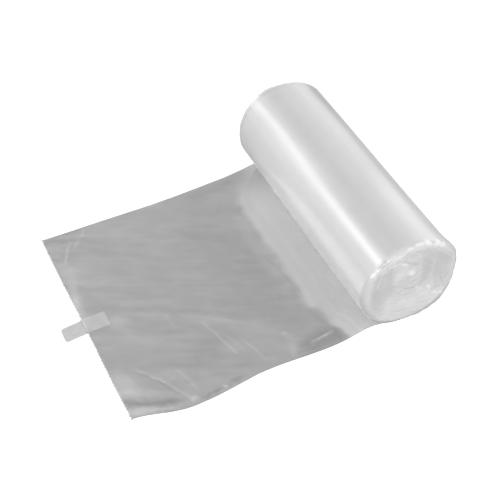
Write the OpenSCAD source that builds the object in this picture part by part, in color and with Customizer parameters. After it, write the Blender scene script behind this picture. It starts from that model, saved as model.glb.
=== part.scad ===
// A coreless roll of bin bags with its first bag drawn out flat, and the strip of tape that closed it.
// The bags are one web of thin film: a tube folded lengthwise, perforated between bags and wound on itself.
// The origin is the middle of the flat spot that the roll rests on. The roll lies along Y, the free web runs to -X.

/* [Roll] */
// Length of the roll, which is the folded width of a bag
roll_len = 190; // [120:5:300]
// Diameter of the roll
roll_d = 75; // [50:1:110]
// Width of the flat spot under the soft roll
flat_w = 10; // [4:1:16]
// Radius of the soft rim at each end
rim_r = 2.5; // [1:0.5:4]

/* [Wound ends] */
// Thickness of one bundle of turns, as the ends show them
bundle_t = 3; // [2:0.1:5]
// Radius of the collapsed middle, where the winding starts
eye_r = 3.2; // [2:0.1:5]
// How deep the middle of an end lies behind its rim
dish_depth = 2.4; // [0:0.1:5]
// How far a bundle's crown stands out of the grooves beside it
crown_h = 0.9; // [0.2:0.1:1.5]
// How far single bundles stand in or out of line
turn_play = 0.7; // [0:0.1:1.2]

/* [Drawn-out web] */
// Length of the web drawn out, from the flat spot's middle to the torn edge
leader_len = 204; // [120:2:320]
// Thickness of the folded web: eight layers of film and the air between them
web_t = 0.4; // [0.2:0.05:1]
// How far the web wanders towards the near end as it leaves the roll
web_drift = 4.5; // [0:0.5:8]
// Share of the width that the web's creases take up
crease_share = 0.012; // [0:0.002:0.03]
// How high the near edge stands where it buckles
ripple_h = 5; // [0:0.5:8]
// How far a buckle reaches in from the near edge
ripple_reach = 48; // [30:2:60]
// How far the near corner of the torn edge is drawn in
corner_pull = 6.5; // [0:0.5:10]

/* [Starter tape] */
// Width of the tape
tape_w = 13.5; // [8:0.5:20]
// Length of tape stuck under the web
tape_on = 16.5; // [8:0.5:25]
// Length of tape that stands out past the torn edge
tape_off = 17; // [8:0.5:25]
// Thickness of the tape
tape_t = 0.2; // [0.1:0.05:0.4]
// Corner radius of the tape's free end
tape_corner_r = 2.5; // [0.5:0.5:4]
// Distance of the tape's middle from the roll's middle, towards the near end
tape_offset = 3; // [-40:1:40]

/* [Hidden] */

film_colour = [0.80, 0.81, 0.82];
tape_colour = [0.88, 0.88, 0.87];

// Stations round one turn, along the drawn-out web, and across the roll's plain length
turn_steps = 40;
leader_steps = 30;
width_steps = 14;
rim_steps = 3;

roll_r = roll_d / 2;
half_len = roll_len / 2;
axis_z = sqrt(roll_r ^ 2 - (flat_w / 2) ^ 2);
flat_half_angle = asin(flat_w / 2 / roll_r);
// Angle at which the roll's flank meets the top of the web that leaves under it
crotch_angle = 180 + asin((axis_z - web_t) / roll_r);
crotch_x = roll_r * cos(crotch_angle);
face_r = roll_r - rim_r;
bundles = floor((face_r - eye_r) / bundle_t);
bundle_pitch = (face_r - eye_r) / (bundles + 1);
last_groove = bundles * turn_steps;

function smooth(t) = let (c = max(0, min(1, t))) c * c * (3 - 2 * c);
function hump(x, middle, reach) = smooth(1 - abs(x - middle) / reach);
function mix(a, b, t) = a + (b - a) * t;

// Across the web: distance from the roll's middle of each station, and the roll's radius there
rim_angles = [for (i = [0:rim_steps]) 90 - 90 * i / rim_steps];
near_rim = [for (a = rim_angles) [-half_len + rim_r * (1 - cos(90 - a)), face_r + rim_r * cos(a)]];
plain_half = half_len - rim_r;
plain = [for (i = [1:width_steps - 1]) [mix(-plain_half, plain_half, i / width_steps), roll_r]];
far_rim = [for (i = [rim_steps:-1:0]) [-near_rim[i][0], near_rim[i][1]]];
across = concat(near_rim, plain, far_rim);
last_across = len(across) - 1;

// The drawn-out web, by x and by the place across it that it had on the roll
gather_len = 0.6 * leader_len;
function drawn(x) = smooth(-x / gather_len);
function near_share(w) = smooth(1 - (w + half_len) / ripple_reach);
function web_y(x, w) =
    w * (1 - crease_share * drawn(x))
    - web_drift * drawn(x)
    + corner_pull * near_share(w) * hump(x, -leader_len, 0.22 * leader_len);

// Buckles of the near edge: [place along the web, reach, height], as shares of the length and of ripple_h
buckles = [[0.13, 0.13, 0.85], [0.51, 0.16, 1], [1, 0.2, 0.8]];
function near_lift(x) = ripple_h * max([
    for (b = buckles) b[2] * hump(x, -b[0] * leader_len, b[1] * leader_len)
]);

// The web lies on the tape and tents down to the ground around it
tent = 20;
function past(value, low, high) = max(low - value, value - high, 0);
function tape_lift(x, y) =
    let (
        dx = past(x, -leader_len, tape_on - leader_len),
        dy = past(y, -tape_offset - tape_w / 2, -tape_offset + tape_w / 2)
    )
    tape_t * smooth(2 - 2 * norm([dx, dy]) / tent);
function web_z(x, w) = max(near_share(w) * near_lift(x), tape_lift(x, web_y(x, w)));

// One section of the web, as a closed outline: round the roll, out along the top, back along the underside
station_angles = concat(
    [-90 - flat_half_angle],
    [for (i = [0:turn_steps - 2]) mix(-90 + flat_half_angle, crotch_angle, i / (turn_steps - 2))]
);
function leader_x(i) = mix(crotch_x, -leader_len, i / leader_steps);
function web_point(i, w, top) = [leader_x(i), web_y(leader_x(i), w), web_z(leader_x(i), w) + top];
function section(w, r) = concat(
    [for (a = station_angles) [r * cos(a), w, axis_z + r * sin(a)]],
    [for (i = [1:leader_steps]) web_point(i, w, web_t)],
    [for (i = [leader_steps:-1:1]) web_point(i, w, 0)]
);
section_size = turn_steps + 2 * leader_steps;
skin_points = [for (s = across) each section(s[0], s[1])];
function skin(s, i) = s * section_size + i % section_size;
// The web's free edge at a station: its top and underside, which start from the roll itself
function top_edge(s, i) = skin(s, i == 0 ? turn_steps - 1 : turn_steps - 1 + i);
function under_edge(s, i) = skin(s, i == 0 ? 0 : section_size - i);

// Each wound end: a spiral groove between bundles of turns, with a crown along the middle of each bundle.
// Stations run inwards from the flat spot, the way the web is wound.
function groove_r(i) = face_r - bundle_pitch * (0.5 + i / turn_steps);
function crown_r(i) = groove_r(i) - bundle_pitch / 2;
function dish(r) = dish_depth * (1 - (r / face_r) ^ 2);
function play(i, side) = turn_play * (sin(3.1 * i + 70 * side) + 0.6 * sin(8.3 * i + 160 * side)) / 1.6;
function end_point(i, r, inset, side) =
    let (a = station_angles[i % turn_steps])
    [r * cos(a), side * (half_len - inset), axis_z + r * sin(a)];
function groove_point(i, side) =
    end_point(i, groove_r(i), dish(groove_r(i)) + crown_h + turn_play, side);
function crown_point(i, side) = end_point(i, crown_r(i), dish(crown_r(i)) + turn_play + play(i, side), side);
function first_crown(i, side) =
    let (r = mix(groove_r(i), face_r, 0.55))
    end_point(i, r, 0.2 * turn_play * (1 + sin(47 * i)), side);
// The eye's middle lies off the spiral's end, so that the last bundle closes on it
function eye_point(side) = [-0.35 * eye_r, side * (half_len - dish_depth - 2 * turn_play), axis_z + 0.3 * eye_r];
function end_points(side) = concat(
    [for (i = [0:last_groove]) groove_point(i, side)],
    [for (i = [0:last_groove - turn_steps]) crown_point(i, side)],
    [for (i = [0:turn_steps - 1]) first_crown(i, side)],
    [eye_point(side)]
);
crown_at = last_groove + 1;
first_crown_at = crown_at + last_groove - turn_steps + 1;
eye_at = first_crown_at + turn_steps;

function end_faces(s, at) =
    let (
        n = turn_steps,
        inner = last_groove - n,
        G = function(i) at + i,
        C = function(i) at + crown_at + i,
        F = function(i) at + first_crown_at + i,
        eye = at + eye_at
    )
    concat(
        // The outermost bundle, from the rim to the first groove
        [for (i = [0:n - 2]) each [
            [skin(s, i), skin(s, i + 1), F(i + 1), F(i)],
            [F(i), F(i + 1), G(i + 1), G(i)]
        ]],
        // Where that bundle closes on its own start
        [
            [F(n - 1), skin(s, n - 1), skin(s, 0)],
            [F(n - 1), skin(s, 0), F(0)],
            [F(n - 1), F(0), G(0)],
            [F(n - 1), G(0), C(0)],
            [F(n - 1), C(0), G(n)],
            [F(n - 1), G(n), G(n - 1)]
        ],
        // The bundles inside it
        [for (i = [0:inner - 1]) each [
            [G(i), G(i + 1), C(i + 1), C(i)],
            [C(i), C(i + 1), G(i + 1 + n), G(i + n)]
        ]],
        // The eye
        [for (i = [inner:last_groove - 1]) [G(i), G(i + 1), eye]],
        [[eye, G(last_groove), C(inner)], [eye, C(inner), G(inner)]]
    );
function edge_faces(s) = [
    for (i = [0:leader_steps - 1])
    [top_edge(s, i), top_edge(s, i + 1), under_edge(s, i + 1), under_edge(s, i)]
];
function triangles(faces) = [for (f = faces) for (i = [1:len(f) - 2]) [f[0], f[i], f[i + 1]]];
function turned(faces) = [for (f = faces) [for (i = [len(f) - 1:-1:0]) f[i]]];

near_end_at = len(skin_points);
near_end_points = end_points(-1);
far_end_at = near_end_at + len(near_end_points);
wall_faces = [
    for (s = [0:last_across - 1]) for (i = [0:section_size - 1])
    [skin(s, i), skin(s, i + 1), skin(s + 1, i + 1), skin(s + 1, i)]
];

// The whole web, wound and drawn out, as the one piece that it is
module bag_roll() {
    color(film_colour)
        polyhedron(
            points = concat(skin_points, near_end_points, end_points(1)),
            faces = triangles(concat(
                turned(concat(end_faces(0, near_end_at), edge_faces(0))),
                end_faces(last_across, far_end_at),
                edge_faces(last_across),
                wall_faces
            )),
            convexity = 8
        );
}

// The strip of tape, half under the web and half out on the ground, with its free corners rounded
module starter_tape() {
    color(tape_colour)
        translate([-leader_len - tape_off, -tape_offset - tape_w / 2, 0])
            linear_extrude(tape_t)
                union() {
                    translate([tape_corner_r, 0])
                        square([tape_off + tape_on - tape_corner_r, tape_w]);
                    translate([0, tape_corner_r])
                        square([2 * tape_corner_r, tape_w - 2 * tape_corner_r]);
                    for (y = [tape_corner_r, tape_w - tape_corner_r])
                        translate([tape_corner_r, y])
                            circle(r = tape_corner_r, $fn = 48);
                }
}

bag_roll();
starter_tape();
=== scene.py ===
# A coreless roll of clear bin bags on a pale table: the wound bags, the first bag drawn out flat to the
# left, and the strip of tape that held its free end to the roll.
import math

import bpy
import numpy as np
from mathutils import Matrix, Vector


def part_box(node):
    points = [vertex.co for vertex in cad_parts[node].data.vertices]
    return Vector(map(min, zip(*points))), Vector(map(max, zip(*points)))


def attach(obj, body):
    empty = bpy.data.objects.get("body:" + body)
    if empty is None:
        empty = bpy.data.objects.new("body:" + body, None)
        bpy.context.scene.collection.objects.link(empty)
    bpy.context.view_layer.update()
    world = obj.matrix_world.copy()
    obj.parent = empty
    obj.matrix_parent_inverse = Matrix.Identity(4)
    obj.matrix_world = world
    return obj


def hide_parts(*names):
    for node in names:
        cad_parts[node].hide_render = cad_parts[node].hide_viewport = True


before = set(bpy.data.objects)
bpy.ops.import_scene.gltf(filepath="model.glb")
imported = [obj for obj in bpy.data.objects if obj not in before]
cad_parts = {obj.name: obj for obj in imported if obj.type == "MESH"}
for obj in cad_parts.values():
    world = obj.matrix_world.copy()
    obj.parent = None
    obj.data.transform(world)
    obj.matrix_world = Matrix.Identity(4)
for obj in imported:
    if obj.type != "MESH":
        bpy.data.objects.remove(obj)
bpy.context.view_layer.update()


# The camera stands where the photographer stood: to the left of the near end and above it, with a short
# telephoto lens.

# Its place in metres, its turns down and to the right in degrees, the lens and the film's width in mm,
# and the range that it sees in metres
VIEW_PLACE = (-0.30143, -0.46661, 0.56389)
VIEW_DOWN = 46.67
VIEW_TURN = 25.97
VIEW_LENS = 74.74
SENSOR_WIDTH = 36.0
NEAREST = 0.01
FARTHEST = 50.0


def put_in_scene(name, data):
    made = bpy.data.objects.new(name, data)
    bpy.context.scene.collection.objects.link(made)
    return made


view_data = bpy.data.cameras.new("view")
view_data.sensor_fit = "HORIZONTAL"
view_data.sensor_width = SENSOR_WIDTH
view_data.lens = VIEW_LENS
view_data.clip_start = NEAREST
view_data.clip_end = FARTHEST
view = put_in_scene("view", view_data)
view.location = VIEW_PLACE
view.rotation_euler = (math.radians(90 - VIEW_DOWN), 0.0, math.radians(-VIEW_TURN))
bpy.context.scene.camera = view
bpy.context.scene.view_settings.view_transform = "Standard"


# The table is a plain white sheet that goes on out of sight. To the camera it is white, with the roll's
# faint shadow on it. The layers of film that lie on it let only a grey through.

# In metres: the table lies a hair below the tape, so that the two don't share a plane
TABLE_HALF = 4.0
TABLE_DROP = 0.0001
# How pale the table is to the lights and through film, and the glow and the shaded grey that add up to
# white
TABLE_GREY = 0.68
THROUGH_FILM = 0.248
TABLE_GLOW = 0.78
SHADED_GREY = 0.42
WHITE = (1, 1, 1, 1)


def step(tree, kind, links=None, values=None, **settings):
    """A node with its settings, and its inputs linked or set by name or by number."""
    made = tree.nodes.new(kind)
    for name, value in settings.items():
        setattr(made, name, value)
    for name, source in (links or {}).items():
        tree.links.new(source, made.inputs[name])
    for name, value in (values or {}).items():
        made.inputs[name].default_value = value
    return made


def number_step(tree, operation, first, second):
    """Arithmetic on two things, each a plain number or another node's output."""
    given = {0: first, 1: second}
    values = {place: value for place, value in given.items() if isinstance(value, float)}
    links = {place: value for place, value in given.items() if place not in values}
    return step(tree, "ShaderNodeMath", links, values, operation=operation).outputs[0]


def new_material(name):
    made = bpy.data.materials.new(name)
    made.use_nodes = True
    made.node_tree.nodes.clear()
    return made, made.node_tree


def show(tree, shader, kind="ShaderNodeOutputMaterial"):
    step(tree, kind, {"Surface": shader.outputs[0]})


def plain_object(name, points, faces):
    mesh = bpy.data.meshes.new(name)
    mesh.from_pydata([tuple(point) for point in points], [], faces)
    mesh.update()
    return put_in_scene(name, mesh)


table_paint, tree = new_material("pale_table")
path = step(tree, "ShaderNodeLightPath").outputs
bare = number_step(tree, "LESS_THAN", path["Transparent Depth"], 0.5)
seen_bare = number_step(tree, "MULTIPLY", path["Is Camera Ray"], bare)
tint = number_step(tree, "MULTIPLY", path["Is Camera Ray"], THROUGH_FILM - TABLE_GREY)
plain = step(tree, "ShaderNodeBsdfDiffuse", {"Color": number_step(tree, "ADD", tint, TABLE_GREY)})
glow = step(tree, "ShaderNodeEmission", {}, {"Color": WHITE, "Strength": TABLE_GLOW})
shaded = step(tree, "ShaderNodeBsdfDiffuse", {}, {"Color": (SHADED_GREY, SHADED_GREY, SHADED_GREY, 1)})
white = step(tree, "ShaderNodeAddShader", {0: glow.outputs[0], 1: shaded.outputs[0]})
show(tree, step(tree, "ShaderNodeMixShader", {0: seen_bare, 1: plain.outputs[0], 2: white.outputs[0]}))

corners = [(x * TABLE_HALF, y * TABLE_HALF, -TABLE_DROP) for x, y in ((-1, -1), (1, -1), (1, 1), (-1, 1))]
table = plain_object("table", corners, [(0, 1, 2, 3)])
table.data.materials.append(table_paint)


# The light is a pale room, a box that fills from the front, and strips of light that hang side by side
# over the roll's far end. Those high on the left draw the two bright lines down the roll.
ROOM_LIGHT = 0.884
ROLL_MIDDLE = (0.0, 0.0, 0.037)
# Each strip's angle above the right of the roll, in degrees, its width, and its watts
STRIPS = (
    (8, 0.16, 0.22),
    (20, 0.16, 0.37),
    (32, 0.16, 0.43),
    (45, 0.16, 0.22),
    (144, 0.42, 2.1),
    (142, 0.20, 0.9),
    (162, 0.16, 0.26),
    (173, 0.16, 0.22),
)
# How much of a strip's direction is across the roll and how much towards its far end, then metres
STRIP_ACROSS = 0.79
STRIP_BACK = 0.61
STRIP_AWAY = 1.2
STRIP_LENGTH = 1.5
FRONT_TOWARDS = (-0.35, -0.9, 0.3)
FRONT_AWAY = 1.3
FRONT_SIZE = 0.6
FRONT_WATTS = 2.0

room = bpy.data.worlds.new("room")
bpy.context.scene.world = room
room.use_nodes = True
tree = room.node_tree
tree.nodes.clear()
seen = step(tree, "ShaderNodeLightPath").outputs["Is Camera Ray"]
dim = step(tree, "ShaderNodeBackground", {}, {"Color": WHITE, "Strength": ROOM_LIGHT})
white = step(tree, "ShaderNodeBackground", {}, {"Color": WHITE})
chosen = step(tree, "ShaderNodeMixShader", {0: seen, 1: dim.outputs[0], 2: white.outputs[0]})
show(tree, chosen, "ShaderNodeOutputWorld")


def soft_box(name, towards, away, width, length, watts):
    """A box of light some way from the roll, its length as near along Y as it can lie."""
    lamp = bpy.data.lights.new(name, "AREA")
    lamp.shape = "RECTANGLE"
    lamp.size = width
    lamp.size_y = length
    lamp.energy = watts
    out = np.array(towards) / np.linalg.norm(towards)
    side = np.cross((0, 1, 0), out)
    side /= np.linalg.norm(side)
    along = np.cross(out, side)
    turn = Matrix((side, along, out)).transposed().to_4x4()
    place = [middle + away * share for middle, share in zip(ROLL_MIDDLE, out)]
    put_in_scene(name, lamp).matrix_world = Matrix.Translation(place) @ turn


for degrees, strip_width, watts in STRIPS:
    height = math.radians(degrees)
    towards = (STRIP_ACROSS * math.cos(height), STRIP_BACK, STRIP_ACROSS * math.sin(height))
    soft_box(f"strip_{degrees}", towards, STRIP_AWAY, strip_width, STRIP_LENGTH, watts)
soft_box("front", FRONT_TOWARDS, FRONT_AWAY, FRONT_SIZE, FRONT_SIZE, FRONT_WATTS)


# The wound bags are some fifty bags of thin clear film, folded lengthwise in four and wound on nothing,
# so the roll is soft. It has a flat spot below, a crushed eye, and dished ends where the folded edges
# stand in and out.
MM = 0.001


def box_mm(node):
    """A CAD node's lowest and highest corners, in mm."""
    return [[round(value / MM, 2) for value in corner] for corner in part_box(node)]


roll_low, roll_high = box_mm("bag_roll")
HALF_LEN = roll_high[1]
ROLL_R = 37.5
FLAT_WIDTH = 10.0
AXIS_Z = round(math.sqrt(ROLL_R**2 - (FLAT_WIDTH / 2) ** 2), 3)
RIM_R = 2.5
FACE_R = ROLL_R - RIM_R
TURN_PITCH = 1.45
# How fine the mesh is: points round the roll, and rings over an end, over a rim and along the side
ROUND = 320
FACE_ROWS = 72
RIM_ROWS = 8
WALL_ROWS = 96
angles = -math.pi / 2 + 2 * math.pi * np.arange(ROUND) / ROUND


def smooth(t):
    t = np.clip(t, 0.0, 1.0)
    return t * t * (3 - 2 * t)


def hump(x, middle, reach):
    return smooth(1 - np.abs(x - middle) / reach)


def lobe(degrees, reach):
    """A soft hump over the roll's angles."""
    away = (np.degrees(angles) - degrees + 180) % 360 - 180
    return np.exp(-((away / reach) ** 2))


def spot(x, y, middle, reach, turn=0.0):
    """A soft oval spot, 1 in its middle and gone a little past its reach."""
    c, s = math.cos(math.radians(turn)), math.sin(math.radians(turn))
    u = ((x - middle[0]) * c + (y - middle[1]) * s) / reach[0]
    v = ((y - middle[1]) * c - (x - middle[0]) * s) / reach[1]
    return np.exp(-((u * u + v * v) ** 1.5))


def ripples(seed, count, low, high):
    """A smooth random field of two coordinates, about 1 high: a sum of waves between two wave lengths."""
    draw = np.random.RandomState(seed)
    lengths = np.exp(draw.uniform(math.log(low), math.log(high), count))
    heading = draw.uniform(0, 2 * math.pi, count)
    phase = draw.uniform(0, 2 * math.pi, count)
    wave_u = 2 * math.pi * np.cos(heading) / lengths
    wave_v = 2 * math.pi * np.sin(heading) / lengths

    def field(u, v):
        total = np.zeros(np.broadcast(u, v).shape)
        for ku, kv, p in zip(wave_u, wave_v, phase):
            total = total + np.sin(ku * u + kv * v + p)
        return total * math.sqrt(2.0 / count)

    return field


def grooves(distance, pitch, lead=0.0):
    """0 on the crests of rings that lie a pitch apart, and 1 in the grooves between them."""
    return 0.5 - 0.5 * np.cos(2 * math.pi * distance / pitch + lead)


# The wound end in mm: the dish above its middle, the dish below it, and how far the eye stands out of
# them. Each starts at a radius, going in, and comes in over a fade.
DISH = 2.3
DISH_FROM = 34.0
DISH_FADE = 13.0
LOW_DISH = 2.0
LOW_DISH_FROM = 34.5
LOW_DISH_FADE = 24.0
EYE = 1.4
EYE_FROM = 16.0
EYE_FADE = 7.5
# How far the eye's middle point lies in
EYE_MIDDLE = 1.2
# The eye is crushed inwards of a radius, and crinkled. The lower half is uneven.
CRUSHED = 0.3
CRUSHED_FROM = 13.0
CRUSHED_FADE = 6.0
CRINKLE = 0.16
UNLEVEL = 0.12
# Grooves between single turns, between bundles of turns, and between the slipped turns at the upper
# left, which lie about a radius and an angle in radians
RIDGE = 0.14
BUNDLE = 0.26
BUNDLE_PITCH = 5.8
SLIPPED = 0.55
SLIPPED_PITCH = 2.7
SLIPPED_AT = (23.5, 2.0)
SLIPPED_REACH = (8.0, 0.55)
# A tuft of film that stands out of the eye
TUFT = 1.1
TUFT_AT = (1.0, 8.5)
TUFT_REACH = (3.4, 2.4)
# The relief starts this far in from the rim
RIM_CALM = 1.6


def end_depth(r, seed):
    """How far the wound end lies behind the roll's end plane, in mm, all round at one radius."""
    x, z = r * np.cos(angles), r * np.sin(angles)
    broad = ripples(seed, 9, 14, 40)(x, z)
    fine = ripples(seed + 1, 14, 3, 9)(x, z)
    strength = np.clip(0.5 + 0.5 * ripples(seed + 2, 8, 10, 26)(x, z), 0.1, 1.2)
    crinkle = ripples(seed + 3, 16, 3, 8)(0.5 * x, z)
    level = ripples(seed + 4, 12, 3, 9)(0.22 * x, z)
    low_side = smooth((-z - 1) / 15)
    shift = 0.8 * broad + 0.2 * fine
    crush = smooth((CRUSHED_FROM - r) / CRUSHED_FADE)
    firm = 1 - crush
    depth = DISH * smooth((DISH_FROM - r + 0.5 * shift) / DISH_FADE) * (1 - low_side)
    depth = depth + LOW_DISH * np.clip((LOW_DISH_FROM - r) / LOW_DISH_FADE, 0, 1) * low_side
    depth = depth - EYE * smooth((EYE_FROM - r + shift) / EYE_FADE)
    turn = r + shift - TURN_PITCH * angles / (2 * math.pi)
    depth = depth + RIDGE * grooves(turn, TURN_PITCH) * strength * firm
    depth = depth + BUNDLE * grooves(r + shift, BUNDLE_PITCH, 1.3 * broad) * firm * (1 - 0.5 * low_side)
    arcs = hump(r, SLIPPED_AT[0], SLIPPED_REACH[0])
    arcs = arcs * np.exp(-(((angles - SLIPPED_AT[1]) / SLIPPED_REACH[1]) ** 2))
    depth = depth + SLIPPED * grooves(r + 0.4 * shift, SLIPPED_PITCH) * arcs
    depth = depth + crush * (CRUSHED + CRINKLE * crinkle) + UNLEVEL * low_side * level * firm
    depth = depth - TUFT * spot(x, z, TUFT_AT, TUFT_REACH)
    return np.clip(depth, 0.0, None) * smooth((FACE_R - r) / RIM_CALM)


# The tone says how pale the film is: 0.5 is plain, 1 palest and 0 darkest. Much of it is painted light
# and shade. The turns carry painted shade where they round under the roll, and a little on its right.
FACE_TONE = 0.68
OUTER_TONE = 0.10
RIM_TONE = 0.72
OVER_RIM_TONE = -0.22
UNDER_SHADE = 0.60 * lobe(-56, 37) + 0.31 * lobe(207, 30)
RIGHT_SHADE = 0.25 * lobe(12, 24)
# A place past every edge of the roll
FAR_OFF = 99
# Painted shade and light on the ends, as the dish takes the light: darker either side of the eye, paler
# above and below it. In mm from their middle: how much paler, then where each starts and stops across
# the end, and where it starts and stops upwards, with the mm that it fades in there
END_LIGHT_AND_SHADE = (
    (-0.09, (-31, 5), (-11.5, 4.5), (-13, 12), (24, 8)),
    (-0.10, (8.5, 2), (18.5, 2), (-13, 12), (24, 8)),
    (-0.09, (19, 3), (33, 5), (-20, 6), (24, 8)),
    (0.12, (-FAR_OFF, 1), (14, 10), (13, 10), (FAR_OFF, 1)),
    (0.14, (-FAR_OFF, 1), (FAR_OFF, 1), (-FAR_OFF, 1), (-3, 16)),
)
# Spots on the ends: a painted shadow low on the left, painted light round the tuft and a painted glint on
# it. In mm from their middle: how much paler, the middle, and the reach each way
END_SPOTS = (
    (-0.20, (-25, -16), (8, 13)),
    (0.08, (-7, 9), (6, 7)),
    (0.30, (1, 9), (2.6, 2.2)),
)
# Lines on the near end: the pale ones are painted glints, on the slipped turns' ridges above the eye and
# on the turns low on the right; the dark ones are painted shade. In mm across it and above the table: how
# much paler, how wide, and the points of each
END_LINES = (
    (0.26, 0.9, ((-24.3, 43), (-23.6, 50), (-21.8, 57.5))),
    (0.30, 0.9, ((-17, 58.6), (-13, 59), (-9.5, 57.4))),
    (0.34, 0.8, ((-9, 57.5), (-5, 55.6), (-3, 54))),
    (0.20, 0.9, ((-17, 62), (-12, 63.8), (-7, 63))),
    (0.24, 1.1, ((-15, 65.6), (-9, 67.6))),
    (-0.16, 1.0, ((-5, 58), (0, 54.5), (6, 51))),
    (-0.08, 2.2, ((-15.5, 56), (-14.4, 48), (-13.2, 38), (-12.6, 29))),
    (-0.24, 0.7, ((-3, 31.5), (1, 31), (5, 29.4))),
    (-0.12, 0.9, ((26, 30), (27.5, 25), (28, 22))),
    (-0.10, 1.0, ((-8, 42), (-4, 40.5), (0, 41))),
    (0.30, 1.0, ((7, 28), (9, 26.8))),
    (0.45, 1.0, ((16.4, 25.6), (17.4, 23.4))),
    (0.28, 0.9, ((21, 19), (22.6, 16.6))),
    (0.26, 0.9, ((25.5, 17), (28, 14.8))),
)
# Painted glints where the near rim's gathered turns catch the light, and a painted dark speck beside them:
# the angle in degrees and its reach, the distance out from the end's face over the rim and its reach, and
# how much paler it is there
RIM_GLINTS = (
    (67, 12, 1.4, 2.6, 0.75),
    (86, 4, 1.0, 1.6, 0.40),
    (97, 4, 0.2, 1.3, 0.30),
    (110, 8, -0.8, 1.5, 0.36),
    (129, 4, 1.6, 1.5, -0.28),
    (144, 8, 2.4, 1.2, 0.43),
)
# Painted highlights and painted shade in bands along the roll's side, where the lamps' sheen and the
# shade fall: how much paler, the angle in degrees and its reach, the place along the roll where each
# starts, and the mm that it takes to come in towards the far end, or towards the near end if it is negative
WALL_TONE = 0.5
WALL_LIGHT_BANDS = (
    (0.17, 69, 15, -8, -50),
    (0.08, 60, 8, -8, -50),
    (-0.06, 119, 5, -8, -50),
    (-0.25, 32, 12, -50, -35),
    (0.05, 121, 4, -20, 30),
    (-0.16, 57, 13, 20, 60),
    (-0.16, 49, 8, 10, 70),
    (-0.22, 150, 55, 88, 5),
    (0.13, 163, 11, 56, -60),
    (-0.12, 178, 14, 55, 25),
    (-0.42, 195, 10, -FAR_OFF, 1),
    (-0.20, 48, 8, -70, 40),
    (0.12, 130, 6, -10, -60),
    (-0.06, 130, 8, 20, 50),
    (-0.12, 107.5, 11, -FAR_OFF, 1),
)


def along_line(x, y, line):
    """Distance from a line of points, and the share of the line's length at the nearest place."""
    lengths = [math.dist(a, b) for a, b in zip(line, line[1:])]
    whole = sum(lengths)
    best = np.full(x.shape, np.inf)
    share = np.zeros(x.shape)
    run = 0.0
    for (x0, y0), (x1, y1), size in zip(line, line[1:], lengths):
        t = np.clip(((x - x0) * (x1 - x0) + (y - y0) * (y1 - y0)) / size**2, 0, 1)
        away = np.hypot(x - x0 - t * (x1 - x0), y - y0 - t * (y1 - y0))
        share = np.where(away < best, (run + t * size) / whole, share)
        best = np.minimum(away, best)
        run += size
    return best, share


def between(value, start, stop):
    """1 from a start to a stop, each a place and the distance that the value fades over there."""
    return smooth((value - start[0]) / start[1]) * smooth((stop[0] - value) / stop[1])


tucks = ripples(6, 14, 3.5, 13)


def rim_glints(out):
    """The painted glints on the near rim, all round at one distance out from the end's face over the rim.
    """
    degrees = np.degrees(angles) % 360
    marks = [
        pale * np.exp(-((np.abs(degrees - at) / reach) ** 3) - np.abs((out - middle) / width) ** 3)
        for at, reach, middle, width, pale in RIM_GLINTS
    ]
    broken = tucks(1.2 * ROLL_R * angles, 0.8 * out)
    return sum(marks) * np.clip(0.85 + 0.5 * broken, 0.1, 1.4)


def end_tone(r, side):
    """The tone of the film's edges on a wound end, with its painted light, shade and glints, all round at
    one radius.
    """
    x, z = r * np.cos(angles), r * np.sin(angles)
    tone = FACE_TONE + OUTER_TONE * smooth((r - 30) / 4)
    tone = tone - UNDER_SHADE * smooth((r - 31.7) / 3.4) - RIGHT_SHADE * smooth((r - 34.5) / 2)
    for pale, left, right, low, high in END_LIGHT_AND_SHADE:
        tone = tone + pale * between(x, left, right) * between(z, low, high)
    for pale, middle, reach in END_SPOTS:
        tone = tone + pale * spot(x, z, middle, reach)
    if side < 0:
        for pale, width, line in END_LINES:
            away = along_line(x, z + AXIS_Z, line)[0]
            tone = tone + pale * np.exp(-((away / width) ** 2))
        tone = tone + rim_glints(r - FACE_R)
    return tone


def rim_tone(bend, side):
    """The tone over a rim, with its painted shade and glints, all round at one angle of its bend from the
    end's face to the roll's side.
    """
    tone = RIM_TONE - UNDER_SHADE - RIGHT_SHADE + OVER_RIM_TONE * bend / (math.pi / 2)
    return tone + rim_glints(RIM_R * bend) if side < 0 else tone


def wall_tone(y):
    """The tone of the roll's side, with its painted highlights and shade, all round at one place along it.
    """
    stripes = [
        pale * lobe(degrees, reach) * smooth((y - start) / fade)
        for pale, degrees, reach, start, fade in WALL_LIGHT_BANDS
    ]
    return WALL_TONE + sum(stripes) + rim_glints(RIM_R * math.pi / 2 + y + HALF_LEN - RIM_R)


# In mm: the soft roll sags to its right and flares at its near end. Its turns have slipped a little, at
# the near end below and at the right, and at the far end above.
SAG = 2.4 * lobe(-44, 26)
FLARE = 1.3 * lobe(40, 18)
SLIP_NEAR = 2.2 * lobe(-58, 36) + 3.0 * lobe(42, 27)
SLIP_FAR = 2.5 * lobe(148, 34) + 2.2 * lobe(112, 22)
# How deep the side's dents are, how far the side lies in, and how far the tucks at each rim draw in its
# side and its bend, and how far along the roll the tucks reach
DENT = 0.14
WALL_IN = 0.2
SIDE_TUCK = 0.08
RIM_TUCK = 0.12
RIM_REACH = 5.0
slack = ripples(5, 10, 25, 80)
rows = []
paths = []
tones = []


def gathers(place):
    """How much the film is tucked in round the roll, at one place on the field of tucks."""
    return np.clip(tucks(ROLL_R * angles, place), -1.5, 1.5)


def ring(r, y, path_length, tone):
    """One ring of points round the roll: radius, place along it, run along the surface, and tone."""
    r, y, tone = (np.broadcast_to(value, angles.shape) for value in (r, y, tone))
    outer = (r / ROLL_R) ** 2
    y = y - SLIP_NEAR * outer * smooth(-y / HALF_LEN) + SLIP_FAR * outer * smooth(y / HALF_LEN)
    r = r + (SAG + FLARE * smooth((-y - 78) / 17)) * outer
    x = r * np.cos(angles)
    rows.append(np.stack([x, y, np.maximum(AXIS_Z + r * np.sin(angles), 0.0)], axis=1))
    paths.append(np.stack([np.cos(angles), np.sin(angles), np.full_like(x, path_length)], axis=1))
    tones.append(tone)


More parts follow.
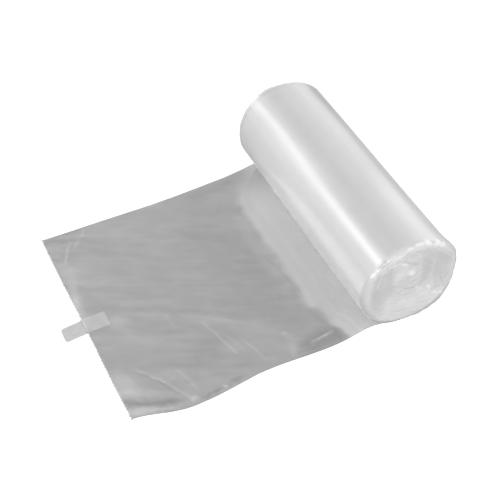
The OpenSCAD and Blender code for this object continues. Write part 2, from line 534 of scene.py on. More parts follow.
def end_rings(side, seed):
    """The rings of one end and its rim, from the eye outwards."""
    found = []
    for k in range(1, FACE_ROWS + 1):
        r = FACE_R * k / FACE_ROWS
        found.append((r, side * (HALF_LEN - end_depth(r, seed)), -side * (FACE_R - r), end_tone(r, side)))
    for k in range(1, RIM_ROWS + 1):
        bend = math.pi / 2 * k / RIM_ROWS
        tuck = 1 + gathers(9 * side + 1.5 * k / RIM_ROWS)
        y = side * (HALF_LEN - RIM_R * (1 - math.cos(bend)) - RIM_TUCK * tuck * math.sin(2 * bend) ** 2)
        r = FACE_R + RIM_R * math.sin(bend) - SIDE_TUCK * tuck * math.sin(bend)
        found.append((r, y, side * RIM_R * bend, rim_tone(bend, side)))
    return found


for found in end_rings(-1, 21):
    ring(*found)
for k in range(1, WALL_ROWS):
    y = (HALF_LEN - RIM_R) * (2 * k / WALL_ROWS - 1)
    near_rim = math.exp(-((HALF_LEN - RIM_R - abs(y)) / RIM_REACH))
    dent = DENT * slack(ROLL_R * np.cos(angles) + 200, 0.3 * y + ROLL_R * np.sin(angles)) * (1 - near_rim)
    tuck = SIDE_TUCK * gathers(math.copysign(9, y) + 0.12 * y) * near_rim
    ring(ROLL_R - WALL_IN + dent - tuck, y, y, wall_tone(y))
for found in reversed(end_rings(1, 41)):
    ring(*found)

eyes = np.array([[0, EYE_MIDDLE - HALF_LEN, AXIS_Z], [0, HALF_LEN - EYE_MIDDLE, AXIS_Z]])
near_eye = ROUND * len(rows)
far_eye = near_eye + 1
last_row = ROUND * (len(rows) - 1)
neighbours = [(k, (k + 1) % ROUND) for k in range(ROUND)]
faces = []
for base in range(0, last_row, ROUND):
    faces += [(base + k, base + n, base + ROUND + n, base + ROUND + k) for k, n in neighbours]
for k, n in neighbours:
    faces += [(near_eye, n, k), (far_eye, last_row + k, last_row + n)]


def shade_smooth(thing, sharp_from=None):
    """Smooth shading, except on the faces from one index on."""
    soft = np.ones(len(thing.data.polygons), bool)
    if sharp_from is not None:
        soft[sharp_from:] = False
    thing.data.polygons.foreach_set("use_smooth", soft)
    thing.data.update()


def store(thing, name, kind, values):
    made = thing.data.attributes.new(name, kind, "POINT")
    field = "vector" if kind == "FLOAT_VECTOR" else "value"
    made.data.foreach_set(field, values.astype(np.float32).ravel())


wound_bags = plain_object("wound_bags", np.concatenate([*rows, eyes]) * MM, faces)
shade_smooth(wound_bags)
store(wound_bags, "wind", "FLOAT_VECTOR", np.concatenate([*paths, [[0, 0, -FACE_R], [0, 0, FACE_R]]]))
store(wound_bags, "tone", "FLOAT", np.concatenate([*tones, [WALL_TONE, WALL_TONE]]))


def stored(tree, name, output="Fac"):
    return step(tree, "ShaderNodeAttribute", attribute_name=name).outputs[output]


def noise_over(tree, vector, turn, stretch, scale=1.0, detail=3.0, roughness=0.5):
    """Noise on a coordinate that is turned about Z and stretched first."""
    turned = step(tree, "ShaderNodeMapping", {"Vector": vector}, {"Rotation": (0, 0, math.radians(turn))})
    placed = step(tree, "ShaderNodeMapping", {"Vector": turned.outputs[0]}, {"Scale": stretch})
    sizes = {"Scale": scale, "Detail": detail, "Roughness": roughness}
    return step(tree, "ShaderNodeTexNoise", {"Vector": placed.outputs[0]}, sizes).outputs["Fac"]


def spread(tree, value, low, high, start=0.3, stop=0.7):
    """The value from start to stop, spread between two numbers. Noise lies mostly from 0.3 to 0.7."""
    limits = {"From Min": start, "From Max": stop, "To Min": low, "To Max": high}
    return step(tree, "ShaderNodeMapRange", {"Value": value}, limits).outputs["Result"]


def greys(tree, value, *stops):
    """A ramp of greys over the value: pairs of place and grey."""
    made = step(tree, "ShaderNodeValToRGB", {"Fac": value})
    ramp = made.color_ramp
    while len(ramp.elements) < len(stops):
        ramp.elements.new(0.5)
    for element, (place, grey) in zip(ramp.elements, stops):
        element.position = place
        element.color = (grey, grey, grey, 1)
    return made.outputs["Color"]


wound_film, tree = new_material("wound_film")
turns = noise_over(tree, stored(tree, "wind", "Vector"), 0, (1.6, 1.6, 0.06), scale=1.6)
shade = number_step(tree, "ADD", stored(tree, "tone"), spread(tree, turns, -0.014, 0.014))
body = step(
    tree,
    "ShaderNodeBsdfPrincipled",
    {"Base Color": greys(tree, shade, (0.0, 0.26), (0.5, 0.60), (1.0, 0.97))},
    {"Roughness": 0.28, "IOR": 1.8, "Coat Weight": 1.0, "Coat Roughness": 0.17, "Coat IOR": 1.7},
)
show(tree, body)
wound_bags.data.materials.append(wound_film)
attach(wound_bags, "root")
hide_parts("bag_roll")


# The turns' edges are the folded edges of the film. They show on each end as a fine spiral that is
# broken where a turn is drawn in. They lie on the wound end and bend with it.

# In mm: the radii where they start and stop, an edge's own radius, how far it wanders, and how far
# outside the end the spiral is drawn before it is laid on
EDGES_FROM = 34.3
EDGES_TO = 13.5
EDGE_R = 0.17
EDGE_WANDER = 2.4
SPIRAL_OUT = 8.0
EDGE_TONE = 0.66
# The scales of the noises that make the edges wander and break, and the value that the second is under
# at a gap
DRIFT_SCALE = 90.0
GAP_SCALE = 160.0
GAP_UNDER = 0.47


def new_growth(name, **inputs):
    """A node tree with named inputs, and its group input."""
    tree = bpy.data.node_groups.new(name, "GeometryNodeTree")
    tree.interface.new_socket("Geometry", in_out="INPUT", socket_type="NodeSocketGeometry")
    for kind, labels in inputs.items():
        for label in labels:
            tree.interface.new_socket(label, in_out="INPUT", socket_type="NodeSocket" + kind)
    tree.interface.new_socket("Geometry", in_out="OUTPUT", socket_type="NodeSocketGeometry")
    return tree, step(tree, "NodeGroupInput").outputs


def end_growth(tree, geometry, material):
    real = step(tree, "GeometryNodeRealizeInstances", {0: geometry.outputs[0]})
    painted = step(tree, "GeometryNodeSetMaterial", {"Geometry": real.outputs[0]}, {"Material": material})
    step(tree, "NodeGroupOutput", {0: painted.outputs[0]})


def grow(name, base, tree, sizes):
    """The base mesh put through the tree once, as a plain mesh object."""
    made = put_in_scene(name, base)
    growth = made.modifiers.new("growth", "NODES")
    growth.node_group = tree
    for item in tree.interface.items_tree:
        if item.in_out == "INPUT" and item.name in sizes:
            growth[item.identifier] = sizes[item.name]
    now = bpy.context.evaluated_depsgraph_get()
    result = bpy.data.meshes.new_from_object(made.evaluated_get(now))
    made.modifiers.remove(growth)
    made.data = result
    result.name = name
    return made


tree, given = new_growth(
    "turn_edges",
    Float=("Outer Radius", "Inner Radius", "Turns", "Edge Radius", "Wander", "Seed"),
    Vector=("Middle", "Towards"),
)
spiral = step(
    tree,
    "GeometryNodeCurveSpiral",
    {
        "Rotations": given["Turns"],
        "Start Radius": given["Inner Radius"],
        "End Radius": given["Outer Radius"],
    },
    {"Resolution": 96, "Height": 0.0},
)
upright = step(
    tree,
    "GeometryNodeTransform",
    {"Geometry": spiral.outputs[0], "Translation": given["Middle"]},
    {"Rotation": (math.pi / 2, 0, 0)},
)
place = step(tree, "GeometryNodeInputPosition").outputs[0]
drift = step(
    tree,
    "ShaderNodeTexNoise",
    {"Vector": place, "W": given["Seed"]},
    {"Scale": DRIFT_SCALE, "Detail": 2.0},
    noise_dimensions="4D",
)
centred = step(
    tree,
    "ShaderNodeVectorMath",
    {0: drift.outputs["Color"]},
    {1: (0.5, 0.5, 0.5)},
    operation="SUBTRACT",
)
moved = step(
    tree,
    "ShaderNodeVectorMath",
    {0: centred.outputs[0], "Scale": given["Wander"]},
    operation="SCALE",
)
wandered = step(
    tree,
    "GeometryNodeSetPosition",
    {"Geometry": upright.outputs[0], "Offset": moved.outputs[0]},
)
landed = step(
    tree,
    "GeometryNodeRaycast",
    {"Target Geometry": given["Geometry"], "Source Position": place, "Ray Direction": given["Towards"]},
    {"Ray Length": 0.03},
).outputs
laid = step(
    tree,
    "GeometryNodeSetPosition",
    {"Geometry": wandered.outputs[0], "Position": landed["Hit Position"], "Selection": landed["Is Hit"]},
)
line = step(tree, "GeometryNodeCurveToMesh", {"Curve": laid.outputs[0]})
gaps = step(
    tree,
    "ShaderNodeTexNoise",
    {"Vector": place, "W": given["Seed"]},
    {"Scale": GAP_SCALE, "Detail": 1.0},
    noise_dimensions="4D",
)
drawn_in = number_step(tree, "LESS_THAN", gaps.outputs["Fac"], GAP_UNDER)
broken = step(
    tree,
    "GeometryNodeDeleteGeometry",
    {"Geometry": line.outputs[0], "Selection": drawn_in},
    domain="POINT",
)
runs = step(tree, "GeometryNodeMeshToCurve", {"Mesh": broken.outputs[0]})
section = step(
    tree,
    "GeometryNodeCurvePrimitiveCircle",
    {"Radius": given["Edge Radius"]},
    {"Resolution": 5},
)
swept = step(
    tree,
    "GeometryNodeCurveToMesh",
    {"Curve": runs.outputs[0], "Profile Curve": section.outputs[0]},
    {"Fill Caps": True},
)
end_growth(tree, step(tree, "GeometryNodeSetShadeSmooth", {"Geometry": swept.outputs[0]}), wound_film)

for name, side, seed in (("near_turn_edges", -1.0, 3.0), ("far_turn_edges", 1.0, 8.0)):
    sizes = {
        "Outer Radius": EDGES_FROM * MM,
        "Inner Radius": EDGES_TO * MM,
        "Turns": (EDGES_FROM - EDGES_TO) / TURN_PITCH,
        "Edge Radius": EDGE_R * MM,
        "Wander": EDGE_WANDER * MM,
        "Seed": seed,
        "Middle": (0.0, side * (HALF_LEN + SPIRAL_OUT) * MM, AXIS_Z * MM),
        "Towards": (0.0, -side, 0.0),
    }
    turn_edges = grow(name, wound_bags.data, tree, sizes)
    store(turn_edges, "tone", "FLOAT", np.full(len(turn_edges.data.vertices), EDGE_TONE))
    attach(turn_edges, "root")


# The drawn-out bag is the web's first bag, still joined to the roll: eight layers of clear film, folded
# at each side. It leaves under the roll with a little slack, lies on the tape near its torn edge, and
# buckles along its near side. Its old folds show as pale creases, and glints, shade and the roll's
# reflection are painted on it.
tape_low, tape_high = box_mm("starter_tape")
LEADER_LEN = -roll_low[0]
TAPE_WIDTH = tape_high[1] - tape_low[1]
TAPE_MIDDLE = (tape_high[1] + tape_low[1]) / 2
TAPE_T = tape_high[2]
WEB_T = 0.4
# How fine the mesh is: rows along the web and across it, and how many rows one face of the underside
# covers
ALONG = 306
ACROSS = 288
COARSE = 6
# The web's course: how far it drifts towards the near end, the share of its width that creases take up,
# how far its near corner is drawn in, and how far its buckles reach in from the near edge
WEB_DRIFT = 4.5
CREASE_SHARE = 0.012
CORNER_PULL = 6.5
BUCKLE_REACH = 48.0
# Each buckle's place along the web and its reach, as shares of the web's length, and its height
BUCKLES = ((0.13, 0.13, 4.25), (0.51, 0.23, 3.4), (1.0, 0.2, 4.0))
# How far the near edge wanders out of its plain course: places along X, and the mm towards the roll's
# far end
NEAR_WANDER_X = (-204, -195, -180, -165, -150, -130, -115, -100, -80, -60, -40, -25, -10)
NEAR_WANDER = (-1.4, -1.6, -1.5, -0.6, 0.0, 1.4, 2.5, 2.4, 1.9, 1.6, 1.3, 1.0, 0.0)
FAR_WANDER = 0.9
# How far the torn edge bows out in its far half
TORN_BOW = 1.2
# How far from the tape the web comes down to the table
TENT = 20.0
# Where the slack film beside the roll starts to rise, where it stops, how high it gets, and how steeply
RISE_FROM = -59.0
RISE_TO = -15.0
RISE = 4.4
RISE_POWER = 1.8
# Heights of the film's waves in mm: what they lie on, the fine ones, the broad ones, and the torn
# edge's crumples
WAVE_BASE = 0.10
FINE_WAVE = 0.03
BROAD_WAVE = 0.05
CRUMPLE = 0.05
# The film's fine waves and streaks lie at this many degrees to the roll's end, with its cosine and sine
DRAW_TURN = 26
DRAW_COS = 0.899
DRAW_SIN = 0.438
# Lines in mm on the table: pale creases, a painted shadow along the torn edge, painted glints on the
# buckle at the near edge, hairlines at the edge of the roll's painted reflection, and darker lines; how
# much paler, how wide, how high, and the points of each
WEB_LINES = (
    (0.19, 1.0, 0.10, ((-187.4, 77.7), (-191.5, 70), (-195.5, 62), (-198.3, 55.7))),
    (0.15, 1.1, 0.10, ((-172.5, 87), (-176.9, 79.4), (-181.5, 75.8), (-187.8, 67.4))),
    (0.07, 3.4, 0.08, ((-192, 58), (-195.4, 47.3), (-200.3, 30.3), (-202.5, 16))),
    (-0.15, 1.6, 0.00, ((-204, 85.5), (-197.8, 84.6), (-187.7, 79.6), (-177.5, 77.0), (-170, 74))),
    (0.09, 1.0, 0.00, ((-196, 87), (-191.7, 86.2), (-177.6, 81.1), (-168, 77))),
    (-0.45, 1.9, 0.00, ((-197, 89.6), (-186.3, 89.3), (-176.5, 89.7), (-160, 90.2))),
    (-0.14, 0.7, 0.00, ((-204.2, 60), (-204.4, 50), (-204.2, 20), (-204, 8))),
    (
        0.07, 1.8, 0.10,
        ((-190, 6), (-170, -9), (-150, -19), (-130, -31), (-112, -43), (-95, -58), (-82, -68)),
    ),
    (
        -0.07, 2.6, 0.00,
        ((-200, 12), (-180, 2), (-160, -9), (-140, -19), (-118, -32), (-96, -46), (-74, -57)),
    ),
    (
        0.22, 0.7, 0.10,
        ((-130.5, -32.5), (-127.5, -42), (-125.2, -50), (-122.7, -60), (-120.6, -68.1), (-118.6, -76)),
    ),
    (0.10, 0.9, 0.05, ((-150.5, -17), (-149.5, -25), (-147.5, -34))),
    (0.15, 1.1, 0.10, ((-111.5, -61), (-110.1, -65.4), (-107.4, -75.4), (-104.8, -85.3), (-103.5, -91))),
    (0.09, 0.7, 0.06, ((-121, -52), (-117, -60), (-114.5, -68), (-113, -77))),
    (
        0.17, 1.1, 0.12,
        (
            (-191, -49), (-185, -56.5), (-179, -65), (-173.1, -73.4),
            (-168, -82), (-163.3, -89.6), (-159.5, -95.5),
        ),
    ),
    (-0.14, 0.9, 0.00, ((-188, -55), (-179.8, -66.6), (-173.9, -75), (-168.9, -83.6), (-165, -89))),
    (0.13, 0.9, 0.10, ((-163.3, -63.2), (-160, -71), (-156.7, -79), (-155.4, -90.7))),
    (0.09, 1.0, 0.06, ((-177, -72), (-170, -73), (-163, -71))),
    (
        -0.36, 2.4, -0.12,
        (
            (-207, -76.5), (-202, -79), (-196, -83), (-190.2, -85.8),
            (-181, -88.3), (-172.5, -90.2), (-163, -92.3),
        ),
    ),
    (0.46, 1.1, 0.20, ((-71, -86.2), (-64, -85.4), (-57, -84.7), (-49, -83.2))),
    (0.16, 0.6, 0.10, ((-88.4, -93.4), (-79, -92.9), (-68, -93.6), (-56, -92.6))),
    (0.13, 0.5, 0.10, ((-80, -90), (-70, -89), (-57.5, -84.4), (-50, -81.5))),
    (-0.10, 0.6, 0.00, ((-80, -87.4), (-66, -85), (-52, -80.5))),
    (0.13, 3.0, 0.06, ((-82.5, -70.5), (-81.2, -74.4), (-80.5, -80.6), (-83.8, -88.3), (-88, -93.5))),
    (-0.22, 1.1, 0.00, ((-98, 90.6), (-60, 92.6), (-22, 95.4))),
    (0.11, 0.5, 0.05, ((-62, 10), (-57, -12), (-54, -30))),
    (0.11, 0.5, 0.05, ((-58, 0), (-53, -25), (-51, -38))),
    (0.10, 0.5, 0.05, ((-60, -18), (-56, -40), (-55, -52))),
    (0.09, 0.5, 0.05, ((-64, 2), (-61, -14), (-58, -26))),
    (-0.07, 0.5, 0.00, ((-51.5, -18), (-49.8, -34), (-48.6, -46))),
    (-0.07, 0.5, 0.00, ((-52.5, -40), (-49.5, -54), (-46.5, -66))),
)
# Paler and darker patches, among them painted glints, a painted dark reflection in the buckle at the near
# edge, and painted light beside the roll: how much paler, the middle, the reach each way, and the turn in
# degrees
WEB_PATCHES = (
    (0.21, (-199.2, -64), (8.5, 13.5), 8),
    (0.13, (-190, -75), (11, 4.5), -30),
    (0.27, (-197.5, -89.5), (11, 4.2), -8),
    (0.20, (-181, -93.6), (9, 1.8), -12),
    (0.22, (-159.8, -93.2), (2.0, 2.2), 20),
    (-0.24, (-64, -88), (17, 8), 5),
    (0.20, (-82.5, -71), (2.4, 1.6), -20),
    (-0.09, (-136.5, -62.5), (14, 10), -30),
    (-0.07, (-86, 0), (20, 85), 8),
    (-0.12, (-66, 85), (26, 8), 4),
    (0.09, (-61.5, -2), (6.5, 62), 0),
    (0.07, (-202, 42), (7, 40), 0),
    (0.20, (-204, 14), (5, 12), 0),
    (0.60, (-137.6, -93.6), (1.5, 1.1), 0),
    (-0.30, (-144, -94), (3.5, 1.6), 0),
    (-0.26, (-130, -93), (5, 2), 0),
    (-0.22, (-152, -95.5), (4, 1.4), 0),
    (0.12, (-182.4, -11), (7.4, 5.8), -19),
    (0.06, (-38, 70), (16, 30), 0),
)
# Where the film beside the roll leaves the table, and where the roll's painted reflection on it starts:
# places along Y, and the x of the line there
LIFT_Y = (-95, -84, -77, -61, -56, -50, -45, -35, -20, 0, 18, 40, 50, 62, 72, 82, 95)
LIFT_X = (-43, -46, -50, -51, -56, -57, -56, -53.5, -54.5, -55, -56, -55, -55.5, -56.5, -50, -44, -37)
# The mm that this takes, and how much the roll's painted reflection lightens the film there: places along
# Y, and the values at them
LIFT_FADE = ((-80, -66, 60, 80), (4, 9, 9, 14))
ROLL_REFLECTION_TONE = ((45, 60, 72, 84), (0.34, 0.272, 0.153, 0.051))
# Painted light next to the roll, where the roll shades the film: how much paler it gets, where that starts
# along X, and the mm that it takes
BESIDE_ROLL_LIGHT = 0.19
BESIDE_FROM = -44
BESIDE_FADE = 22
# A line fades in and out over these shares of its length. One that starts at the torn edge only fades
# out.
FADE_IN = 0.2
FADE_OUT = 0.12
TORN_FADE_OUT = 0.3
TORN_FROM = -200
# Lines up to this width have an uneven strength
FINE_LINE = 2

fine_waves = ripples(71, 22, 9, 26)
broad_waves = ripples(72, 14, 35, 90)
edge_waves = ripples(73, 18, 4, 14)
side_waves = ripples(74, 9, 30, 90)


def drawn(x):
    return smooth(-x / (0.6 * LEADER_LEN))


def near_share(w):
    return smooth(1 - (w + HALF_LEN) / BUCKLE_REACH)


def web_y(x, w):
    """Where a point of the web lies along Y, from the place across the web that it had on the roll."""
    pull = CORNER_PULL * near_share(w) * hump(x, -LEADER_LEN, 0.22 * LEADER_LEN)
    near_wander = near_share(w) * np.interp(x, NEAR_WANDER_X, NEAR_WANDER)
    far_wander = FAR_WANDER * drawn(2.5 * x) * smooth((w - 20) / 70)
    return w * (1 - CREASE_SHARE * drawn(x)) - WEB_DRIFT * drawn(x) + pull + near_wander - far_wander


def near_lift(x):
    lifts = [high * hump(x, -at * LEADER_LEN, reach * LEADER_LEN) for at, reach, high in BUCKLES]
    return np.maximum.reduce(lifts)


def tape_lift(x, y):
    past_x = np.maximum(np.maximum(-LEADER_LEN - x, x - tape_high[0]), 0)
    past_y = np.maximum(np.abs(y - TAPE_MIDDLE) - TAPE_WIDTH / 2, 0)
    return TAPE_T * smooth(2 - 2 * np.hypot(past_x, past_y) / TENT)


def slack_rise(x, y):
    """How high the slack film beside the roll stands: it meets the roll's flank from below."""
    start = RISE_FROM + 0.8 * side_waves(np.zeros_like(y), y)
    share = np.clip((x - start) / (RISE_TO - start), 0, 1)
    under_roll = AXIS_Z - np.sqrt(ROLL_R**2 - np.minimum(np.abs(x), ROLL_R) ** 2) - WEB_T - 0.1
    return np.clip(np.minimum(RISE * share**RISE_POWER, under_roll), 0, None)


def lifted(x, y):
    """1 where the film beside the roll stands off the table and bears the roll's painted reflection, 0
    where it lies on it.
    """
    edge = np.interp(y, LIFT_Y, LIFT_X) + 0.4 * edge_waves(0.4 * x, 0.5 * y)
    return smooth((x - edge) / np.interp(y, *LIFT_FADE) + 0.5)


def creases(x, y):
    """The height that the creases add, in mm, and the tone of the lines and patches, with the roll's
    painted reflection and the painted light beside it.
    """
    height = np.zeros(x.shape)
    tone = np.zeros(x.shape)
    wobble = 0.25 * edge_waves(x, y)
    for pale, width, high, line in WEB_LINES:
        away, share = along_line(x + wobble, y + wobble, line)
        if line[0][0] > TORN_FROM:
            ends = smooth(share / FADE_IN) * smooth((1 - share) / FADE_OUT)
        else:
            ends = smooth((1 - share) / TORN_FADE_OUT)
        if width <= FINE_LINE:
            ends = ends * (0.9 + 0.12 * edge_waves(y, x))
        mark = ends * np.exp(-((away / (width * (1.15 - 0.35 * share))) ** 2))
        height += high * mark
        tone += pale * mark
    for pale, middle, reach, turn in WEB_PATCHES:
        tone += pale * spot(x + 2 * wobble, y + 2 * wobble, middle, reach, turn)
    standing = lifted(x, y)
    tone = np.where(tone < 0, tone * (1 - 0.6 * standing), tone)
    # The roll's side painted as its reflection in the film, and painted light where the roll shades the
    # film
    painted_reflection = np.interp(y, *ROLL_REFLECTION_TONE) + BESIDE_ROLL_LIGHT * smooth((x - BESIDE_FROM) / BESIDE_FADE)
    return height, tone + painted_reflection * standing


def web_form(x, y, w):
    """The web's lower side, in mm above the table, and its tone."""
    along_streaks = DRAW_COS * x - DRAW_SIN * y
    over_streaks = DRAW_SIN * x + DRAW_COS * y
    waves = WAVE_BASE + FINE_WAVE * fine_waves(0.4 * along_streaks, over_streaks)
    waves = waves + BROAD_WAVE * (1 + broad_waves(0.6 * along_streaks, over_streaks))
    calm = smooth((-x - 14) / 30.0) * (1 - 0.85 * lifted(x, y))
    near_torn = 1 - smooth((x + LEADER_LEN) / 10.0)
    crumple = CRUMPLE * near_torn * (1 + edge_waves(x, y))
    off_tape = 1 - hump(y, TAPE_MIDDLE, 13) * (1 - smooth((x + LEADER_LEN - 15) / 8))
    height, tone = creases(x, y)
    lift = np.maximum.reduce([near_share(w) * near_lift(x), tape_lift(x, y), slack_rise(x, y)])
    low_side = np.maximum(lift + calm * off_tape * (waves + crumple + height), 0)
    return low_side, np.clip(0.5 + tone, 0, 1)


# The first row lies under the roll, a little left of the flat spot's middle
first_x = -3.0
grid_x = first_x - (LEADER_LEN + first_x) * np.arange(ALONG + 1)[:, None] / ALONG
grid_w = HALF_LEN * (2 * np.arange(ACROSS + 1)[None, :] / ACROSS - 1)
grid_x, grid_w = np.broadcast_arrays(grid_x, grid_w)
grid_x = grid_x - TORN_BOW * smooth((-grid_x - 150) / 54) * smooth((grid_w + 30) / 110)
grid_y = web_y(grid_x, grid_w)
under, web_tone = web_form(grid_x, grid_y, grid_w)
top_points = np.stack([grid_x, grid_y, under + WEB_T], axis=2).reshape(-1, 3)
low_points = np.stack([grid_x, grid_y, under], axis=2).reshape(-1, 3)


def web_point(place):
    """The number of a point on the web's top, by its row along the web and its row across it."""
    return place[0] * (ACROSS + 1) + place[1]


def coarse_face(i, j):
    """One face of the underside, with all the points that lie along the web's rim."""
    face = [(i, j)]
    if j == 0:
        face += [(k, j) for k in range(i + 1, i + COARSE)]
    face.append((i + COARSE, j))
    if i + COARSE == ALONG:
        face += [(ALONG, k) for k in range(j + 1, j + COARSE)]
    face.append((i + COARSE, j + COARSE))
    if j + COARSE == ACROSS:
        face += [(k, ACROSS) for k in range(i + COARSE - 1, i, -1)]
    face.append((i, j + COARSE))
    if i == 0:
        face += [(i, k) for k in range(j + COARSE - 1, j, -1)]
    return [web_point(place) + len(top_points) for place in face]


faces = [
    [web_point(place) for place in ((i, j), (i, j + 1), (i + 1, j + 1), (i + 1, j))]
    for i in range(ALONG)
    for j in range(ACROSS)
]
faces += [coarse_face(i, j) for i in range(0, ALONG, COARSE) for j in range(0, ACROSS, COARSE)]
rim_from = len(faces)
rim = [(0, j) for j in range(ACROSS)]
rim += [(i, ACROSS) for i in range(ALONG)]
rim += [(ALONG, j) for j in range(ACROSS, 0, -1)]
rim += [(i, 0) for i in range(ALONG, 0, -1)]
rim = [web_point(place) for place in rim]
faces += [[b, a, a + len(top_points), b + len(top_points)] for a, b in zip(rim, rim[1:] + rim[:1])]
used = np.zeros(2 * len(top_points), bool)
for face in faces:
    used[face] = True
renumbered = (np.cumsum(used) - 1).tolist()
faces = [[renumbered[k] for k in face] for face in faces]
drawn_bag = plain_object("drawn_bag", np.concatenate([top_points, low_points])[used] * MM, faces)
shade_smooth(drawn_bag, rim_from)
store(drawn_bag, "tone", "FLOAT", np.concatenate([web_tone.ravel(), web_tone.ravel()])[used])

laid_film, tree = new_material("laid_film")
place = step(tree, "ShaderNodeTexCoord").outputs["Object"]
tone = stored(tree, "tone")
streaks = noise_over(tree, place, DRAW_TURN, (26, 230, 60), detail=5.0, roughness=0.6)
clouds = noise_over(tree, place, DRAW_TURN, (14, 60, 20), detail=4.0)
mottle = noise_over(tree, place, DRAW_TURN, (70, 130, 60), detail=4.0)
uneven = number_step(tree, "ADD", spread(tree, streaks, -0.04, 0.04), spread(tree, clouds, -0.06, 0.06))
uneven = number_step(tree, "ADD", uneven, spread(tree, mottle, -0.05, 0.05))
# The noise is calmed where the tone is high: in the roll's painted reflection and on the pale lines
unevenness = spread(tree, tone, 1.0, 0.25, start=0.64, stop=0.80)
shade = number_step(tree, "ADD", tone, number_step(tree, "MULTIPLY", uneven, unevenness))
relief = step(tree, "ShaderNodeBump", {"Height": streaks}, {"Strength": 0.08, "Distance": 0.0002})
film = step(
    tree,
    "ShaderNodeBsdfPrincipled",
    {
        "Base Color": greys(tree, shade, (0.0, 0.03), (0.5, 0.095), (0.7, 0.20), (0.8, 0.29), (1.0, 0.42)),
        "Roughness": spread(tree, clouds, 0.12, 0.20),
        "Normal": relief.outputs[0],
        "Coat Normal": relief.outputs[0],
    },
    {"IOR": 2.0, "Coat Weight": 1.0, "Coat Roughness": 0.10, "Coat IOR": 1.6},
)
let_through = greys(tree, shade, (0.0, 0.55), (0.5, 0.76), (0.8, 0.80), (1.0, 0.82))
clear = step(tree, "ShaderNodeBsdfTransparent", {"Color": let_through})
show(tree, step(tree, "ShaderNodeAddShader", {0: clear.outputs[0], 1: film.outputs[0]}))
drawn_bag.data.materials.append(laid_film)
# The layers' finish is all on the top face, so that their folded sides don't mirror the lamps inside
# the sheet
film_side, tree = new_material("film_side")
show(tree, step(tree, "ShaderNodeBsdfTransparent", {}, {"Color": WHITE}))
drawn_bag.data.materials.append(film_side)
side_index = np.zeros(len(drawn_bag.data.polygons), np.int32)
side_index[ALONG * ACROSS :] = 1
drawn_bag.data.polygons.foreach_set("material_index", side_index)
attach(drawn_bag, "root")
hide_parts("bag_roll")


# The torn edge is the row of perforations between two bags, which leaves a small tooth of film between
# each pair of holes. The teeth stand out of the web's end all the way across.
TOOTH_PITCH = 2.9
TOOTH_LENGTH = 1.0
TOOTH_T = 0.3
# How pale the teeth are: places along Y, and the tone there
TOOTH_TONES = (
    (-95, -55, -20, -11, -9, 3, 5, 12, 30, 80, 95),
    (0.5, 0.7, 0.55, 0.55, 0.9, 0.9, 0.65, 0.6, 0.55, 0.75, 0.8),
)

torn_film, tree = new_material("torn_film")
shade = greys(tree, stored(tree, "tone"), (0.0, 0.10), (0.5, 0.34), (1.0, 0.72))
show(tree, step(tree, "ShaderNodeBsdfPrincipled", {"Base Color": shade}, {"Roughness": 0.5}))

tree, given = new_growth(
    "torn_teeth",
    Float=("Tooth Pitch", "Tooth Length", "Film Thickness"),
    Int=("Seed",),
)
torn_line = step(tree, "GeometryNodeMeshToCurve", {"Mesh": given["Geometry"]})
stations = step(
    tree,
    "GeometryNodeResampleCurve",
    {"Curve": torn_line.outputs[0], "Length": given["Tooth Pitch"]},
    mode="LENGTH",
)
# A cylinder of three sides, of radius 1, is a triangle 1.5 long and 1.73 wide
tooth = step(
    tree,
    "GeometryNodeMeshCylinder",
    {"Depth": given["Film Thickness"]},
    {"Vertices": 3, "Radius": 1.0},
)
pointed = step(
    tree,
    "GeometryNodeTransform",
    {"Geometry": tooth.outputs["Mesh"]},
    {"Translation": (-0.5, 0, 0), "Rotation": (0, 0, math.pi)},
)
reach = number_step(tree, "DIVIDE", given["Tooth Length"], 1.5)
breadth = number_step(tree, "DIVIDE", given["Tooth Pitch"], 2.1)
size = step(tree, "ShaderNodeCombineXYZ", {"X": reach, "Y": breadth}, {"Z": 1.0})
uneven = step(
    tree,
    "FunctionNodeRandomValue",
    {"Seed": given["Seed"]},
    {0: (0.55, 0.75, 1.0), 1: (1.15, 1.05, 1.0)},
    data_type="FLOAT_VECTOR",
)
scale = step(tree, "ShaderNodeVectorMath", {0: size.outputs[0], 1: uneven.outputs[0]}, operation="MULTIPLY")
tangent = step(tree, "GeometryNodeInputTangent").outputs[0]
facing = step(tree, "FunctionNodeAlignRotationToVector", {"Vector": tangent}, axis="Y")
planted = step(
    tree,
    "GeometryNodeInstanceOnPoints",
    {
        "Points": stations.outputs[0],
        "Instance": pointed.outputs[0],
        "Rotation": facing.outputs[0],
        "Scale": scale.outputs[0],
    },
)
end_growth(tree, planted, torn_film)

torn_points = np.stack([grid_x[-1] + 0.1, grid_y[-1], under[-1] + WEB_T / 2], axis=1)[::2] * MM
torn_line_mesh = bpy.data.meshes.new("torn_line")
torn_line_mesh.from_pydata(
    [tuple(point) for point in torn_points],
    [(k, k + 1) for k in range(len(torn_points) - 1)],
    [],
)
sizes = {
    "Tooth Pitch": TOOTH_PITCH * MM,
    "Tooth Length": TOOTH_LENGTH * MM,
    "Film Thickness": TOOTH_T * MM,
    "Seed": 5,
}
torn_teeth = grow("torn_teeth", torn_line_mesh, tree, sizes)
tooth_y = np.array([vertex.co.y for vertex in torn_teeth.data.vertices]) / MM
store(torn_teeth, "tone", "FLOAT", np.interp(tooth_y, *TOOTH_TONES))
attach(torn_teeth, "root")


# The starter tape is a strip of clear tape, cut square at one end and with soft corners at its free
# end. Its inner half is stuck under the film, and its outer half is bent a little askew there and lies
# on the table.

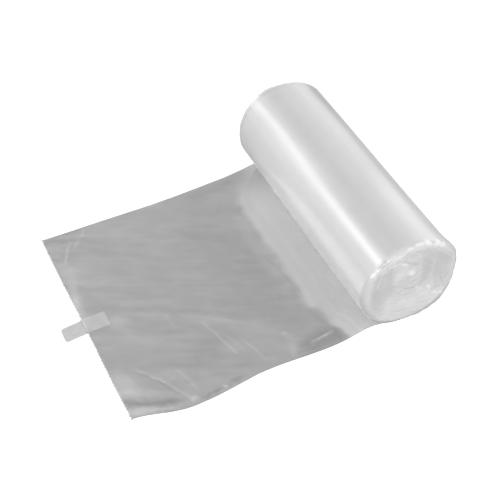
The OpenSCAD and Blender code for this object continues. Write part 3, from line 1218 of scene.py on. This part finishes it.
# In mm: how far in the free end lies, its corners' radius, how far the outer half is narrowed on each
# side, how far the tape lies towards the near end, how much further its outer half does, and its slope
FREE_END_IN = 0.3
CORNER_R = 2.5
NARROWED = 0.45
TAPE_SHIFT = 0.4
BEND_SHIFT = 0.8
BEND_SLOPE = 0.095
SIDE_STEPS = 24
CORNER_STEPS = 8
# How much darker the tape is under the film, and the places along X, in metres, where that starts and
# is full
STUCK_SHADE = 0.13
STUCK_FROM = -0.206
STUCK_FULL = -0.203
free_end = tape_low[0] + FREE_END_IN


def tape_y(x, side):
    """The place of a point on the tape, side running from -1 at its near edge to 1 at its far one."""
    bent = smooth((-x - LEADER_LEN + 1.5) / 4)
    middle = TAPE_MIDDLE - TAPE_SHIFT - BEND_SHIFT * bent + BEND_SLOPE * np.minimum(x + LEADER_LEN, 0)
    return middle + side * (TAPE_WIDTH / 2 - NARROWED * bent)


outline = [(x, 1.0) for x in np.linspace(tape_high[0], free_end + CORNER_R, SIDE_STEPS)]
for k in range(1, CORNER_STEPS + 1):
    a = math.pi / 2 * k / CORNER_STEPS
    side = 1 - 2 * CORNER_R * (1 - math.cos(a)) / TAPE_WIDTH
    outline.append((free_end + CORNER_R * (1 - math.sin(a)), side))
outline += [(x, -side) for x, side in reversed(outline)]
ring_size = len(outline)
points = [(x, tape_y(x, side), z) for z in (0.0, TAPE_T) for x, side in outline]
turned = [(k + 1) % ring_size for k in range(ring_size)]
faces = [[n, k, k + ring_size, n + ring_size] for k, n in enumerate(turned)]
faces.append(list(range(ring_size)))
faces.append(list(range(2 * ring_size - 1, ring_size - 1, -1)))
tape_strip = plain_object("tape_strip", np.array(points) * MM, faces)

tape_film, tree = new_material("tape_film")
place = step(tree, "ShaderNodeTexCoord").outputs["Object"]
dabs = noise_over(tree, place, 0, (160, 420, 100))
place_x = step(tree, "ShaderNodeSeparateXYZ", {"Vector": place}).outputs["X"]
under_film = spread(tree, place_x, 0.0, STUCK_SHADE, start=STUCK_FROM, stop=STUCK_FULL)
shade = number_step(tree, "SUBTRACT", spread(tree, dabs, 0.50, 0.57), under_film)
show(tree, step(tree, "ShaderNodeBsdfPrincipled", {"Base Color": shade}, {"Roughness": 0.4}))
tape_strip.data.materials.append(tape_film)
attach(tape_strip, "root")
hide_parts("starter_tape")
